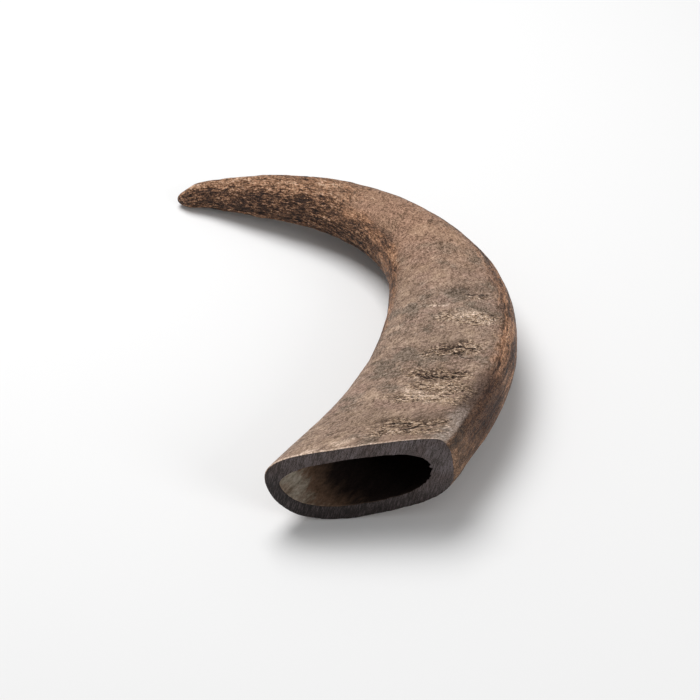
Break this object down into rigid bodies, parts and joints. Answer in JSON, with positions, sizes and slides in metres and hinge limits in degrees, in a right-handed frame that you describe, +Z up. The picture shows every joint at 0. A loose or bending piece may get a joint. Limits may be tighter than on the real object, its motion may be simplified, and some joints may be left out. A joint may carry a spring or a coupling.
{
  "type": "buffalo horn",
  "caption": "Curved buffalo horn lying on its side, hollow behind a flat sawn mouth and solid toward a blunt rounded tip.",
  "frame": {"origin": "middle of the bottom of the horn's box, on the surface that it lies on", "axes": "+Z up, through the horn's thinner way as it lies; -Y straight out of the sawn mouth; the horn leads away to +Y, bends left, and its tip points to -X"},
  "size_m": [0.1572, 0.24, 0.0452],
  "materials": {
    "horn": "dull worn keratin, grey-brown with tan and dark brown fibres"
  },
  "bodies": {
    "root": {"horn": "horn"}
  },
  "joints": []
}
